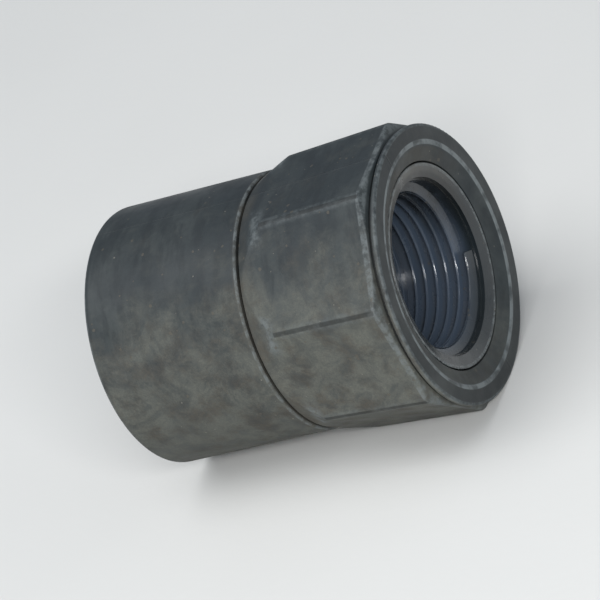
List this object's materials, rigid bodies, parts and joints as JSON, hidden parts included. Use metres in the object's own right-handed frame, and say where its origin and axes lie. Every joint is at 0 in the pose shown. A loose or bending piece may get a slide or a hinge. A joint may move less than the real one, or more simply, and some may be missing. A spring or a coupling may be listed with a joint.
{
  "type": "pipe union",
  "caption": "Slim plastic pipe union with a solvent socket, an eight-sided union nut and a tapered female pipe thread.",
  "frame": {"origin": "middle of the assembled union, on the pipe axis", "axes": "+X along the pipe axis towards the threaded end, +Z in the plane that halves a wrench flat of the nut, up when the union lies on its barrel and the nut's rim"},
  "size_m": [0.052, 0.0426, 0.0426],
  "materials": {
    "pvc_body": "semi-gloss moulded dark slate-grey plastic with a film of dust",
    "pvc_nut": "semi-gloss moulded dark slate-grey plastic with a film of dust, scuffed on the corners",
    "pvc_thread": "clean blue-grey moulded plastic with a soft gloss",
    "seal_rubber": "matt black rubber"
  },
  "bodies": {
    "socket_body": {"socket_end": "pvc_body", "o_ring": "seal_rubber"},
    "threaded_tail": {"threaded_end": "pvc_thread"},
    "nut": {"union_nut": "pvc_nut"}
  },
  "joints": [
    {"name": "separation", "type": "slide", "parent": "socket_body", "child": "threaded_tail", "axis": [1, 0, 0], "range_m": [0, 0.0065]},
    {"name": "nut_turn", "type": "hinge", "parent": "threaded_tail", "child": "nut", "pos_m": [0, 0, 0], "axis": [1, 0, 0], "range_deg": [0, 1170]}
  ],
  "couplings": [
    {"joint": "separation", "follows": "nut_turn", "m_per_rad": 0.00031831}
  ]
}
